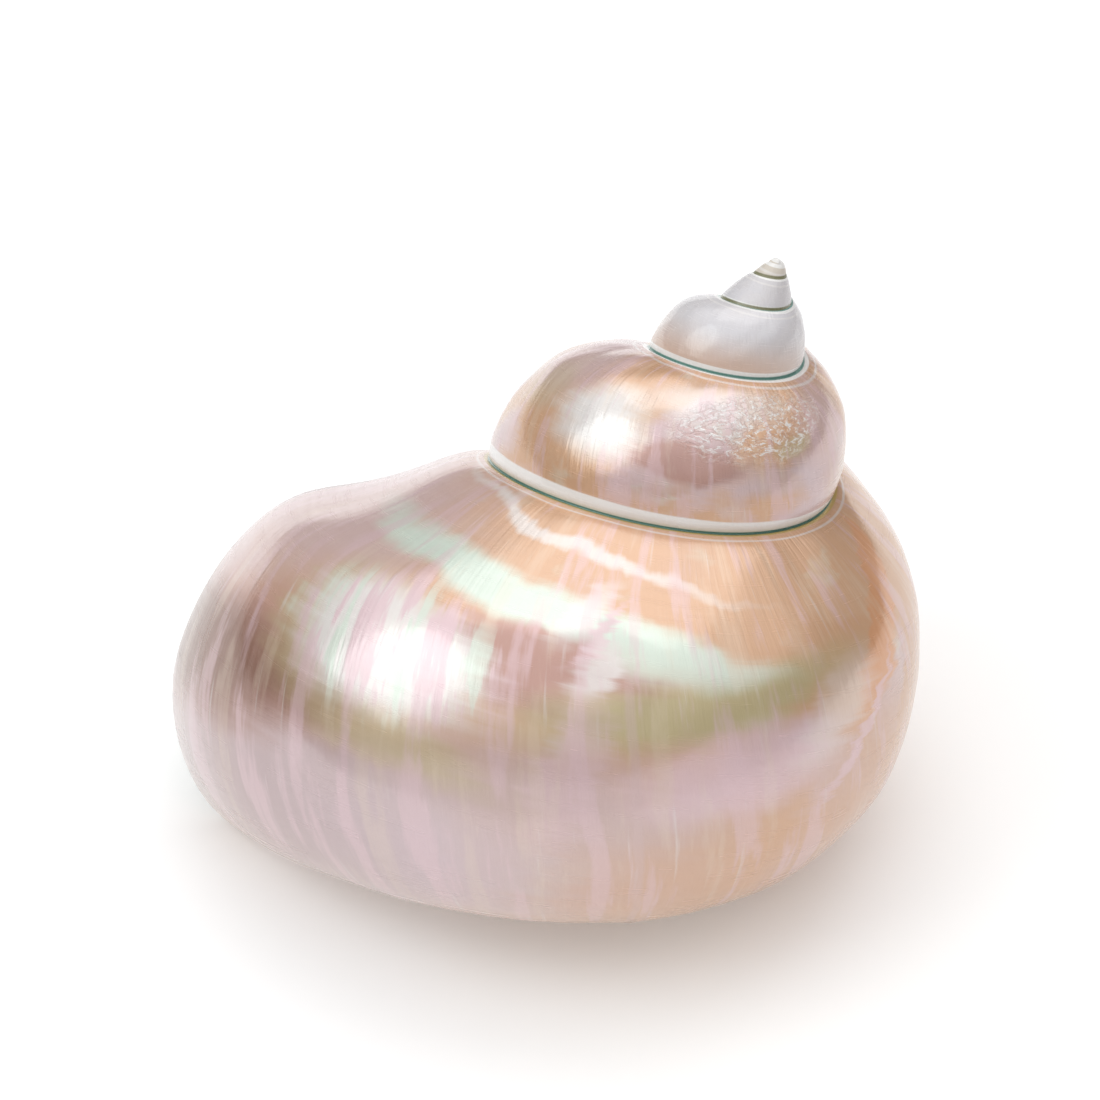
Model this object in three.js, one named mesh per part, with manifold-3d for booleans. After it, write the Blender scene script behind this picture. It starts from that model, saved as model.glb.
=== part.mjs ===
// A polished turban shell, grown as one piece: a right-handed coil of five turns in which every turn is
// larger than the one before by the same factor. The last turn is hollow and opens in a wide mouth.
// Units are millimetres, +Z is up, and the shell rests on its base at z = 0.
import * as THREE from 'three';
import { mergeVertices } from 'three/addons/utils/BufferGeometryUtils.js';
import Module from 'manifold-3d';

const FULL_TURN = 2 * Math.PI;

// Overall size, and the attitude in which the shell rests
const WIDTH = 90.0;                       // across the body whorl, along X
const LEAN_BACK = THREE.MathUtils.degToRad(17.2);
const LEAN_SIDE = THREE.MathUtils.degToRad(20.95);
const FOOT_WEAR = 0.8;                    // depth worn off the lowest points, so that the shell sits still

// Growth of the coil. Growth angles are in radians, negative towards the apex.
const TURN_RATIO = 2.136;                 // size of each turn over the one before
const TURNS = 5;                          // from the nucleus to the lip
const BODY_TURNS = 1.5;                   // the part of the coil with the finer facets
const MOUTH_AZIMUTH = THREE.MathUtils.degToRad(146.8);
const GROWTH_RAKE = 0.6;                  // growth angle by which the foot of a growth line trails its top

// Section of the whorl, in coil units: x is out from the axis and y is along it, from the apex.
// It is drawn at its full size, as it is at the lip.
const SECTION_CENTRE = new THREE.Vector2(30.0, -75.0);
const SECTION_TOP = -39.7;
const SECTION_FOOT = -105.0;
const WHORL_SECTION = [
  [16.0, -43.0], [25.6, -39.7], [37.5, -44.2], [46.8, -52.0], [52.4, -63.2], [55.2, -75.0], [54.7, -84.9],
  [50.5, -94.5], [43.5, -101.5], [35.5, -104.0], [27.0, -101.5], [19.5, -95.5], [12.5, -87.5], [6.0, -80.0],
  [1.6, -74.0], [0.9, -64.0], [0.9, -46.0], [3.0, -38.0], [8.5, -40.5],
];
const HOLLOW_SECTION = [
  [25.0, -49.0], [35.0, -48.6], [43.8, -54.8], [48.8, -64.6], [51.4, -75.0], [51.0, -84.0], [47.2, -92.4],
  [41.5, -98.0], [35.0, -100.2], [28.5, -98.0], [22.0, -92.0], [16.5, -83.5], [12.6, -73.0], [12.4, -62.5],
  [17.2, -54.2],
];

// Ways in which the real coil departs from even growth, each a soft swelling of the section
const SETTLE = { depth: 4.4, centre: new THREE.Vector2(40.0, -47.0), spread: 9.0 };
const LIFT = { depth: -10.0, centre: new THREE.Vector2(20.0, -98.0), spread: 12.0 };
const SAG = { depth: 9.0, centre: new THREE.Vector2(36.0, -104.0), spread: 13.0 };
const LAST_HALF_TURN = [-3.4, -0.3];      // growth over which the shoulder settles and the base lifts
const SAG_GROWTH = -4.5;                  // where the base is fullest
const SAG_REACH = 0.95;
const SPIRE_SLIMMING = 0.07;              // share by which the early whorls are slimmer
const SPIRE_GROWTH = [8.2, 13.5];
const CONE_SHARE = 0.85;                  // share by which the first whorls are flattened into a cone
const CONE_GROWTH = [12.0, 21.0];
const CONE_TOP = [25.6, -39.7];           // the cone's side on the section, from here
const CONE_FOOT = [54.7, -84.9];          // to here

// Mouth
const MOUTH_TILT = THREE.MathUtils.degToRad(20.0);
const MOUTH_OVERRUN = 0.42;               // growth that is built past the lip and cut off flat
const MOUTH_CUTTER = { width: 96.0, height: 150.0, depth: 70.0, inner: 36.0 };
const HOLLOW_TURNS = 1.35;                // how far the hollow runs back from the lip
const LIP_BEVEL = 0.05;                   // share by which the hollow widens at the lip
const LIP_BEVEL_GROWTH = [-0.75, -0.1];

// Columella: a slim pillar closes the axis, in coil units
const PILLAR_SLOPE = 0.04;
const PILLAR_FOOT = 50.0;

// Facet counts
const SPIRE_STEPS_PER_TURN = 16;
const BODY_STEPS_PER_TURN = 28;
const WHORL_POINTS = 30;
const HOLLOW_POINTS = 20;
const PILLAR_SIDES = 10;
const FINE_WELD = 1e-5;                   // corners nearer than this are one corner
const CLEAN_WELD = 0.02;                  // and in the finished shell, which drops the slivers along its joins

const NACRE = new THREE.MeshStandardMaterial({ color: 0xe3c3b2, roughness: 0.22, metalness: 0.15 });

const wasm = await Module();
wasm.setup();

function toSolid(geometry, weld = FINE_WELD) {
  geometry.deleteAttribute('normal');
  geometry.deleteAttribute('uv');
  const merged = mergeVertices(geometry, weld);
  const mesh = new wasm.Mesh({
    numProp: 3,
    vertProperties: new Float32Array(merged.attributes.position.array),
    triVerts: new Uint32Array(merged.index.array),
  });
  return new wasm.Manifold(mesh);
}

function toGeometry(solid) {
  const mesh = solid.getMesh();
  const geometry = new THREE.BufferGeometry();
  geometry.setAttribute('position', new THREE.BufferAttribute(mesh.vertProperties, 3));
  geometry.setIndex(new THREE.BufferAttribute(mesh.triVerts, 1));
  return geometry;
}

// A smooth closed outline through the section's points, as evenly spaced corners.
function sectionShape(points, count) {
  const corners = points.map(([x, y]) => new THREE.Vector3(x, y, 0));
  const loop = new THREE.CatmullRomCurve3(corners, true, 'centripetal');
  const outline = loop.getSpacedPoints(count).slice(0, count).reverse();
  return new THREE.Shape(outline.map((point) => new THREE.Vector2(point.x, point.y)));
}

// How far a swelling moves a point of the section down.
function swell(point, swelling, share) {
  const distance = point.distanceTo(swelling.centre) / swelling.spread;
  return share * swelling.depth * Math.exp(-0.5 * distance * distance);
}

// How far a point of the section stands out from the cone's side.
function standProud(point) {
  const down = (CONE_TOP[1] - point.y) / (CONE_TOP[1] - CONE_FOOT[1]);
  const side = THREE.MathUtils.lerp(CONE_TOP[0], CONE_FOOT[0], down);
  return Math.max(0, point.x - side);
}

// Carries a point of the section round the coil to a growth angle, which is zero at the top of the lip.
function placeOnCoil(point, angle) {
  const down = (SECTION_TOP - point.y) / (SECTION_TOP - SECTION_FOOT);
  const growth = angle - GROWTH_RAKE * THREE.MathUtils.clamp(down, 0, 1);
  const last = THREE.MathUtils.smoothstep(growth, ...LAST_HALF_TURN);
  const sagging = Math.exp(-0.5 * ((growth - SAG_GROWTH) / SAG_REACH) ** 2);
  const settled = swell(point, SETTLE, last);
  const lowered = settled + swell(point, LIFT, last) + swell(point, SAG, sagging);
  const slim = 1 - SPIRE_SLIMMING * THREE.MathUtils.smoothstep(-growth, ...SPIRE_GROWTH);
  const size = TURN_RATIO ** (growth / FULL_TURN);
  const flattened = CONE_SHARE * THREE.MathUtils.smoothstep(-growth, ...CONE_GROWTH) * standProud(point);
  const radius = size * slim * (point.x - 0.4 * settled - flattened);
  const azimuth = MOUTH_AZIMUTH - growth;
  const height = size * (point.y - lowered);
  return new THREE.Vector3(radius * Math.cos(azimuth), radius * Math.sin(azimuth), height);
}

// One stretch of the coil: the section extruded a step at a time, then wound round the axis.
function coilStretch(shape, start, stepAngle, first, last, widen) {
  const steps = last - first;
  const geometry = new THREE.ExtrudeGeometry(shape, { depth: steps, steps, bevelEnabled: false });
  const position = geometry.attributes.position;
  const point = new THREE.Vector2();
  for (let i = 0; i < position.count; i += 1) {
    const angle = start + (first + Math.round(position.getZ(i))) * stepAngle;
    point.set(position.getX(i), position.getY(i)).sub(SECTION_CENTRE);
    point.multiplyScalar(widen(angle)).add(SECTION_CENTRE);
    const placed = placeOnCoil(point, angle);
    position.setXYZ(i, placed.x, placed.y, placed.z);
  }
  return toSolid(geometry);
}

// A run of the coil, in stretches of half a turn, so that no stretch meets itself.
function coil(shape, start, end, stepsPerTurn, widen = () => 1) {
  const steps = Math.round((end - start) / FULL_TURN * stepsPerTurn);
  const stepAngle = (end - start) / steps;
  const stretchSteps = stepsPerTurn / 2;
  const stretches = [];
  for (let first = 0; first < steps; first += stretchSteps) {
    const last = Math.min(first + stretchSteps, steps);
    stretches.push(coilStretch(shape, start, stepAngle, first, last, widen));
  }
  return stretches;
}

// A block whose near face is the plane of the mouth, moved out by a clearance.
function makeMouthCutter(clearance) {
  const centre = placeOnCoil(SECTION_CENTRE, 0);
  const out = new THREE.Vector3(centre.x, centre.y, 0).normalize();
  const onward = new THREE.Vector3(out.y, -out.x, 0);
  const facing = onward.multiplyScalar(Math.cos(MOUTH_TILT));
  facing.z = -Math.sin(MOUTH_TILT);
  const { width, height, depth, inner } = MOUTH_CUTTER;
  const block = new THREE.BoxGeometry(width, height, depth);
  block.translate(0.5 * width - inner, 0, 0.5 * depth + clearance);
  block.applyMatrix4(new THREE.Matrix4().makeBasis(out, facing.clone().cross(out), facing));
  block.translate(centre.x, centre.y, centre.z);
  return toSolid(block);
}

// Cuts the last two stretches of a coil off flat at the mouth.
function trimAtMouth(stretches, clearance) {
  const cutter = makeMouthCutter(clearance);
  const kept = stretches.slice(0, -2);
  return [...kept, ...stretches.slice(-2).map((stretch) => stretch.subtract(cutter))];
}

function makePillar() {
  const radius = PILLAR_SLOPE * PILLAR_FOOT;
  const profile = [
    new THREE.Vector2(0, -1.03 * PILLAR_FOOT),
    new THREE.Vector2(0.55 * radius, -PILLAR_FOOT),
    new THREE.Vector2(0.9 * radius, -0.93 * PILLAR_FOOT),
    new THREE.Vector2(0, 0),
  ];
  const pillar = new THREE.LatheGeometry(profile, PILLAR_SIDES);
  pillar.rotateX(Math.PI / 2);
  return toSolid(pillar);
}

function makeWhorls() {
  const shape = sectionShape(WHORL_SECTION, WHORL_POINTS);
  const bodyStart = -BODY_TURNS * FULL_TURN;
  const spire = coil(shape, -TURNS * FULL_TURN, bodyStart, SPIRE_STEPS_PER_TURN);
  const body = coil(shape, bodyStart, MOUTH_OVERRUN, BODY_STEPS_PER_TURN);
  return wasm.Manifold.union([...spire, ...trimAtMouth(body, 0), makePillar()]);
}

function makeHollow() {
  const shape = sectionShape(HOLLOW_SECTION, HOLLOW_POINTS);
  const bevel = (angle) => 1 + LIP_BEVEL * THREE.MathUtils.smoothstep(angle, ...LIP_BEVEL_GROWTH);
  const stretches = coil(shape, -HOLLOW_TURNS * FULL_TURN, MOUTH_OVERRUN, BODY_STEPS_PER_TURN, bevel);
  return wasm.Manifold.union(trimAtMouth(stretches, 1));
}

// The grown shell: of what the cuts leave, the largest body is the shell and the rest are crumbs.
function growShell() {
  const bodies = makeWhorls().subtract(makeHollow()).decompose();
  bodies.sort((a, b) => b.volume() - a.volume());
  return toGeometry(bodies[0]);
}

// Leans the shell over as it rests, sets its real size and wears its lowest points flat.
function restOnBase(geometry) {
  geometry.rotateX(-LEAN_BACK);
  geometry.rotateY(LEAN_SIDE);
  geometry.computeBoundingBox();
  const size = geometry.boundingBox.getSize(new THREE.Vector3());
  const scale = WIDTH / size.x;
  geometry.scale(scale, scale, scale);
  geometry.computeBoundingBox();
  const middle = geometry.boundingBox.getCenter(new THREE.Vector3());
  geometry.translate(-middle.x, -middle.y, -geometry.boundingBox.min.z - FOOT_WEAR);
  const ground = new THREE.BoxGeometry(2 * WIDTH, 2 * WIDTH, WIDTH);
  ground.translate(0, 0, -0.5 * WIDTH);
  const worn = toSolid(geometry, CLEAN_WELD).subtract(toSolid(ground));
  return toGeometry(toSolid(toGeometry(worn), CLEAN_WELD));
}

const shell = new THREE.Mesh(restOnBase(growShell()), NACRE);
shell.name = 'shell';

const group = new THREE.Group();
group.add(shell);

export default group;
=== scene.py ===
import logging
import math
from dataclasses import dataclass, field
from enum import Enum
from functools import partial, reduce

import bmesh
import bpy
import numpy as np
from mathutils import Euler, Matrix, Vector


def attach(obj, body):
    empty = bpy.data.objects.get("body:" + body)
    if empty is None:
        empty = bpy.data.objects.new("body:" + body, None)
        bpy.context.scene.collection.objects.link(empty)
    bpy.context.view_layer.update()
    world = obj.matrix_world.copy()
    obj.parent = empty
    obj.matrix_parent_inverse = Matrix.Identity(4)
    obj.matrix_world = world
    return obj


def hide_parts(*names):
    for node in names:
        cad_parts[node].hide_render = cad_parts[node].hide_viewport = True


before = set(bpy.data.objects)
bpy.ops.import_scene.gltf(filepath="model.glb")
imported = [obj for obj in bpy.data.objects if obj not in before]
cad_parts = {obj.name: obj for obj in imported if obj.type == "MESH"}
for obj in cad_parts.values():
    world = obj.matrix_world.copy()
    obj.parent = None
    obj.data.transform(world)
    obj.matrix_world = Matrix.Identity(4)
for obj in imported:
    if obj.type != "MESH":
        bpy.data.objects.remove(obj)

LOG = logging.getLogger("turban_shell")
FULL_TURN = 2.0 * math.pi
MM = 0.001
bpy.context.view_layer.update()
PATTERN_MAP = "pattern"
# Going once round a whorl is this many times as long as going down its flank.
LONG_TURN = 4.6
Socket = bpy.types.NodeSocket


def ease(value: np.ndarray, low: float, high: float) -> np.ndarray:
    """Smooth step from 0 at low to 1 at high.

    Args:
        value: Where to read the step.
        low: The step is 0 up to here.
        high: The step is 1 from here on.

    Returns:
        The step, from 0 to 1.
    """
    share = np.clip((np.asarray(value, float) - low) / (high - low), 0.0, 1.0)
    return share * share * (3.0 - 2.0 * share)


def bell(value: np.ndarray, centre: float, spread: float) -> np.ndarray:
    """Bell curve of height 1.

    Args:
        value: Where to read the bell.
        centre: Where it is 1.
        spread: Its standard deviation.

    Returns:
        The bell, from 0 to 1.
    """
    return np.exp(-0.5 * ((np.asarray(value, float) - centre) / spread) ** 2)


@dataclass(frozen=True)
class Swelling:
    """A soft place on the whorl's section that stands lower than the plain spiral."""

    depth: float
    centre: tuple[float, float]
    spread: float

    def drop(self, x: np.ndarray, y: np.ndarray) -> np.ndarray:
        """How far the swelling lowers a point of the section.

        Args:
            x: Distances from the axis.
            y: Heights.

        Returns:
            The drops, in coil units.
        """
        apart = np.hypot(x - self.centre[0], y - self.centre[1]) / self.spread
        return self.depth * np.exp(-0.5 * apart * apart)


@dataclass(frozen=True)
class Outline:
    """A smooth closed curve through the corners of a section."""

    corners: tuple[tuple[float, float], ...]
    fine: int = 40

    def span(self, first: int, last: int) -> np.ndarray:
        """Fine points of the curve from one corner to another.

        Args:
            first: Index of the first corner.
            last: Index of the last corner, which may pass the end of the list.

        Returns:
            Points as rows of distance from the axis and height.
        """
        corners = np.array(self.corners)
        count = len(corners)
        share = np.linspace(0.0, 1.0, self.fine, endpoint=False)[:, None]
        pieces = []
        for i in range(first, last):
            before, here, there, after = (corners[(i + k) % count] for k in (-1, 0, 1, 2))
            gaps = [math.sqrt(np.linalg.norm(b - a)) for a, b in
                    ((before, here), (here, there), (there, after))]
            leave = ((here - before) / gaps[0] - (there - before) / (gaps[0] + gaps[1])
                     + (there - here) / gaps[1]) * gaps[1]
            arrive = ((there - here) / gaps[1] - (after - here) / (gaps[1] + gaps[2])
                      + (after - there) / gaps[2]) * gaps[1]
            pieces.append(here + leave * share
                          + (-3 * here + 3 * there - 2 * leave - arrive) * share ** 2
                          + (2 * here - 2 * there + leave + arrive) * share ** 3)
        pieces.append(corners[last % count][None, :])
        return np.concatenate(pieces)


@dataclass(frozen=True)
class Coil:
    """The shell's growth: a section that turns round the axis and grows as it sinks.

    Lengths are in coil units, with the spire's point at the origin and the axis along Z.
    """

    turn_ratio: float = 2.136
    mouth_azimuth: float = math.radians(146.8)
    last_half_turn: tuple[float, float] = (-3.4, -0.3)
    settle: Swelling = Swelling(4.4, (40.0, -47.0), 9.0)
    lift: Swelling = Swelling(-10.0, (20.0, -98.0), 12.0)
    sag: Swelling = Swelling(9.0, (36.0, -104.0), 13.0)
    sag_growth: float = -4.5
    sag_reach: float = 0.95
    spire_slimming: float = 0.07
    spire_growth: tuple[float, float] = (8.2, 13.5)
    cone_share: float = 0.85
    cone_growth: tuple[float, float] = (12.0, 21.0)
    cone_side: tuple[float, float, float, float] = (25.6, -39.7, 54.7, -84.9)
    tip_blunting: float = 1.0

    def size(self, growth: np.ndarray) -> np.ndarray:
        """How large the section is at a growth angle, with 1 at the lip."""
        return self.turn_ratio ** (np.asarray(growth, float) / FULL_TURN)

    def place(self, x: np.ndarray, y: np.ndarray, growth: np.ndarray) -> np.ndarray:
        """Carries points of the section round the coil.

        Args:
            x: Distances from the axis on the section.
            y: Heights on the section.
            growth: Growth angles, negative before the lip.

        Returns:
            Points in coil units, with the three coordinates along the last axis.
        """
        x, y, growth = np.broadcast_arrays(*(np.asarray(a, float) for a in (x, y, growth)))
        last = ease(growth, *self.last_half_turn)
        settled = last * self.settle.drop(x, y)
        lowered = settled + last * self.lift.drop(x, y)
        lowered = lowered + bell(growth, self.sag_growth, self.sag_reach) * self.sag.drop(x, y)
        slim = 1.0 - self.spire_slimming * ease(-growth, *self.spire_growth)
        size = self.size(growth)
        top_x, top_y, foot_x, foot_y = self.cone_side
        side = top_x + (top_y - y) / (top_y - foot_y) * (foot_x - top_x)
        flattened = self.cone_share * ease(-growth, *self.cone_growth) * np.maximum(0.0, x - side)
        radius = size * slim * (x - 0.4 * settled - flattened)
        azimuth = self.mouth_azimuth - growth
        return np.stack([radius * np.cos(azimuth), radius * np.sin(azimuth),
                         -np.hypot(size * (y - lowered), self.tip_blunting)], axis=-1)


@dataclass(frozen=True)
class Mouth:
    """The flat plane that the lip grows to."""

    coil: Coil
    centre: tuple[float, float] = (30.0, -75.0)
    tilt: float = math.radians(20.0)
    overrun: float = 0.42
    lag: float = 0.6
    top: float = -39.7
    fall: float = 65.3

    def axes(self) -> tuple[np.ndarray, np.ndarray, np.ndarray, np.ndarray]:
        """The plane's own directions.

        Returns:
            Its middle, and its outward, rising and facing directions.
        """
        middle = self.coil.place(*self.centre, self.lag * (self.centre[1] - self.top) / self.fall)
        out = np.array([middle[0], middle[1], 0.0]) / math.hypot(middle[0], middle[1])
        onward = np.array([out[1], -out[0], 0.0])
        up = np.array([0.0, 0.0, 1.0])
        facing = onward * math.cos(self.tilt) - up * math.sin(self.tilt)
        rise = onward * math.sin(self.tilt) + up * math.cos(self.tilt)
        return middle, out, rise, facing

    def reach(self, x: np.ndarray, y: np.ndarray, low: float, high: float) -> np.ndarray:
        """Growth angles at which points of the section come to the plane.

        Args:
            x: Distances from the axis on the section.
            y: Heights on the section.
            low: Growth angle surely before the plane.
            high: Growth angle to stop at where the plane isn't reached.

        Returns:
            One growth angle for each point.
        """
        middle, _, _, facing = self.axes()
        before, after = np.full(len(x), low), np.full(len(x), high)
        for _ in range(40):
            half = 0.5 * (before + after)
            past = (self.coil.place(x, y, half) - middle) @ facing > 0.0
            after, before = np.where(past, half, after), np.where(past, before, half)
        return 0.5 * (before + after)


@dataclass(frozen=True)
class Stand:
    """How the coil lies at rest: leaned, sized and moved onto the ground."""

    lean_back: float = math.radians(17.2)
    lean_side: float = math.radians(20.95)
    scale: float = 0.9545780039 * MM
    apex: tuple[float, float, float] = (27.8922186 * MM, 20.8406205 * MM, 67.643039 * MM)

    def turned(self) -> np.ndarray:
        """The rotation from the coil to the object's frame, as a 3 by 3 array."""
        turn = Matrix.Rotation(self.lean_side, 3, "Y") @ Matrix.Rotation(-self.lean_back, 3, "X")
        return np.array(turn)

    def rest(self, points: np.ndarray) -> np.ndarray:
        """Puts coil points in the object's frame, worn flat at the ground.

        Args:
            points: Points in coil units.

        Returns:
            The points in metres.
        """
        placed = points @ self.turned().T * self.scale + np.array(self.apex)
        placed[..., 2] = np.maximum(placed[..., 2], 0.0)
        return placed


@dataclass(frozen=True)
class Relief:
    """Low relief of the polished skin, in millimetres out from the plain coil.

    Places are given by growth in turns and by the share of the way down the whorl's flank.
    """

    flank_length: float = 54.0
    turn_ratio: float = Coil.turn_ratio
    bead: float = 0.05
    bead_width: float = 1.7
    notch: float = 0.16
    notch_width: float = 0.45
    line_lag: float = 0.07
    scar: tuple[tuple[float, float, float], ...] = (
        (-0.257, 0.26, 1.6), (-0.268, 0.31, 2.0), (-0.283, 0.36, 1.7), (-0.291, 0.41, 2.6),
        (-0.292, 0.47, 3.3), (-0.289, 0.53, 2.4))
    scar_depth: float = 0.5
    seam_at: float = -0.2725
    seam_height: float = 0.16
    broad_swell: float = 0.10
    fine_swell: float = 0.022
    open_below: float = -0.93
    far: float = 99.0

    def waves(self, turns: np.ndarray, share: np.ndarray) -> np.ndarray:
        """Broad unevenness left by hand polishing, and the swell of the growth lines.

        Args:
            turns: Growth in turns.
            share: Share of the way down the flank.

        Returns:
            Heights in millimetres.
        """
        line = turns + self.line_lag * share
        broad = (np.sin(47.0 * turns + 3.1 * share + 1.0) * np.sin(7.3 * share + 19.0 * turns)
                 + 0.7 * np.sin(83.0 * turns - 5.0 * share + 2.0) * np.sin(11.0 * share + 0.4))
        fine = (np.sin(210.0 * line + 2.5 * np.sin(9.0 * share)) * np.sin(61.0 * line + 1.3)
                + 0.6 * np.sin(143.0 * line + 1.7 * np.sin(14.0 * share + 1.0)))
        return self.broad_swell * broad + self.fine_swell * fine

    def height(self, turns: np.ndarray, share: np.ndarray) -> np.ndarray:
        """Height of the relief.

        Args:
            turns: Growth in turns.
            share: Share of the way down the flank; 1 and more is the base.

        Returns:
            Heights in millimetres.
        """
        size = self.turn_ratio ** turns
        above = share * self.flank_length * size
        below = np.where(turns < self.open_below, np.abs(1.0 - share) * self.flank_length * size,
                         self.far)
        lying = np.minimum(size * 2.4, 1.0)
        height = self.waves(turns, share) * lying
        edge = ease(below, 0.0, 0.35) * ease(above, 0.0, 0.6)
        height = height * ease(np.minimum(below, above), 0.3, 3.0)
        height += self.bead * lying * ease(-below, -self.bead_width, -0.7 * self.bead_width) * edge
        height -= self.notch * lying * (np.exp(-(below / self.notch_width) ** 2)
                                        + np.exp(-(above / self.notch_width) ** 2))
        around = self.flank_length * LONG_TURN
        for at_turn, at_share, wide in self.scar:
            ragged = 1.0 + 0.35 * np.sin(310.0 * turns + 40.0 * share) * np.sin(55.0 * share)
            along, down = (turns - at_turn) * around * 0.9, (share - at_share) * self.flank_length
            away = np.hypot(along, down) / (wide * ragged)
            # A pit with a raised edge round it.
            height -= self.scar_depth * 0.55 * np.exp(-away ** 2)
            height += self.scar_depth * 0.28 * np.exp(-((away - 1.55) / 0.35) ** 2)
        line = turns + self.line_lag * share + 0.0016 * np.sin(31.0 * share)
        ridge = np.exp(-((line - self.seam_at) * around / 0.9) ** 2)
        height += self.seam_height * ridge * ease(share, 0.42, 0.55)
        return height

    def raise_skin(self, points: np.ndarray, turns: np.ndarray, share: np.ndarray,
                   unit: float) -> np.ndarray:
        """Moves rows of skin points out along the skin's own normals.

        Args:
            points: Coil points by row and column.
            turns: Their growth in turns.
            share: Their shares of the way down.
            unit: Millimetres in one coil unit.

        Returns:
            The moved points.
        """
        normal = np.cross(np.gradient(points, axis=1), np.gradient(points, axis=0))
        normal /= np.maximum(np.linalg.norm(normal, axis=-1, keepdims=True), 1e-12)
        outwards = np.sign(np.sum(normal[..., :2] * points[..., :2], axis=-1).sum())
        return points + normal * (outwards * self.height(turns, share) / unit)[..., None]


@dataclass
class ShellForm:
    """The shell's skin: its whorls outside, the lip, and the hollow last whorl."""

    coil: Coil = field(default_factory=Coil)
    stand: Stand = field(default_factory=Stand)
    relief: Relief = field(default_factory=Relief)
    whorl: Outline = Outline((
        (16, -43), (25.6, -39.7), (37.5, -44.2), (46.8, -52), (52.4, -63.2), (55.2, -75),
        (54.7, -84.9), (50.5, -94.5), (43.5, -101.5), (35.5, -104), (27, -101.5), (19.5, -95.5),
        (12.5, -87.5), (6, -80), (1.6, -74), (0.9, -64), (0.9, -46), (3, -38), (8.5, -40.5)))
    hollow: Outline = Outline((
        (25, -49), (35, -48.6), (43.8, -54.8), (48.8, -64.6), (51.4, -75), (51, -84),
        (47.2, -92.4), (41.5, -98), (35, -100.2), (28.5, -98), (22, -92), (16.5, -83.5),
        (12.6, -73), (12.4, -62.5), (17.2, -54.2)))
    per_turn: int = 160
    turns: float = 5.35
    flank_steps: int = 60
    base_steps: int = 34
    rim_steps: int = 8
    tube_steps: int = 56
    tube_turns: float = 1.35
    rim_roll: float = 0.9
    rim_flare: float = 0.045

    def __post_init__(self) -> None:
        """Works out the rows that the skin shares."""
        self.mouth = Mouth(self.coil)
        self.step = FULL_TURN / self.per_turn
        self.flank = self.whorl.span(1, 6)
        self.base = self.whorl.span(6, 14)

    @staticmethod
    def along(line: np.ndarray, share: np.ndarray) -> np.ndarray:
        """Points at shares of a line's length.

        Args:
            line: Points of the line, as rows.
            share: Shares of its length, in any shape.

        Returns:
            The points, with their two coordinates along the last axis.
        """
        lengths = np.concatenate([[0.0], np.cumsum(np.linalg.norm(np.diff(line, axis=0), axis=1))])
        at = np.asarray(share) * lengths[-1]
        return np.stack([np.interp(at, lengths, line[:, k]) for k in (0, 1)], axis=-1)

    def columns(self) -> np.ndarray:
        """Shares of the flank's length, closer together near the seams."""
        even = np.linspace(0.0, 1.0, self.flank_steps + 1)
        return even - 0.11 * np.sin(FULL_TURN * even)

    def rows(self) -> tuple[np.ndarray, np.ndarray, np.ndarray, np.ndarray]:
        """Skin points by row of growth and column down the section, in coil units.

        Returns:
            Flank points, flank growth, base points and base growth.
        """
        line = np.concatenate([self.flank, self.base[1:]])
        flank_length = np.sum(np.linalg.norm(np.diff(self.flank, axis=0), axis=1))
        length = np.sum(np.linalg.norm(np.diff(line, axis=0), axis=1))
        plain = flank_length / length
        columns = self.columns()
        top = self.along(line, np.array([0.0]))
        end = float(self.mouth.reach(top[:, 0], top[:, 1], -1.0, self.mouth.overrun)[0])
        count = int(round(self.turns * self.per_turn))
        growth = end + (np.arange(count + 1) - count) * self.step
        turn = self.per_turn

        # Where the next whorl's top meets this one, as a share of the whole line.
        shares = np.linspace(0.6 * plain, min(1.0, 1.25 * plain), 160)
        seam = np.full(count + 1, plain)
        for i in range(count + 1 - turn):
            upper = self.coil.place(*top[0], growth[i + turn])
            points = self.along(line, shares)
            heights = self.coil.place(points[:, 0], points[:, 1], growth[i])[:, 2]
            seam[i] = np.interp(-upper[2], -heights, shares)
        start = count - turn
        fade = ease(np.arange(count + 1), start, start + 0.35 * turn)
        seam = np.where(np.arange(count + 1) > start, seam[start] * (1 - fade) + plain * fade, seam)

        share = columns[None, :] * seam[:, None]
        points = self.along(line, share)
        lip = self.mouth.reach(points[-1, :, 0], points[-1, :, 1], -1.2, self.mouth.overrun)
        near = ease(growth, end - 1.7, end)
        flank_growth = growth[:, None] + (lip - end)[None, :] * near[:, None]
        flank = self.coil.place(points[..., 0], points[..., 1], flank_growth)

        # The base: from the seam line under the last whorl to the axis.
        base_columns = np.linspace(0.0, 1.0, self.base_steps + 1)
        last = np.arange(start, count + 1)
        base_share = seam[last][:, None] + (1.0 - seam[last])[:, None] * base_columns[None, :]
        base_points = self.along(line, base_share)
        foot = self.mouth.reach(base_points[-1, :, 0], base_points[-1, :, 1], -1.2,
                                self.mouth.overrun)
        foot = np.minimum(foot, foot[0] + 0.25)
        wall = self.mouth.reach(base_points[0, :, 0], base_points[0, :, 1],
                                end - FULL_TURN - 0.4, end - FULL_TURN + 1.15)
        wall = np.maximum(wall, end - FULL_TURN)
        wall[0] = end - FULL_TURN
        near_start = 1.0 - ease(growth[last], end - FULL_TURN, end - FULL_TURN + 2.3)
        base_growth = (growth[last][:, None] + (foot - end)[None, :] * near[last][:, None]
                       + (wall - (end - FULL_TURN))[None, :] * near_start[:, None])
        base = self.coil.place(base_points[..., 0], base_points[..., 1], base_growth)

        unit = self.stand.scale / MM
        wide = np.broadcast_to(columns, flank.shape[:2])
        flank = self.relief.raise_skin(flank, flank_growth / FULL_TURN, wide, unit)
        wide = np.broadcast_to(1.0 + base_columns, base.shape[:2])
        base = self.relief.raise_skin(base, base_growth / FULL_TURN, wide, unit)
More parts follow.
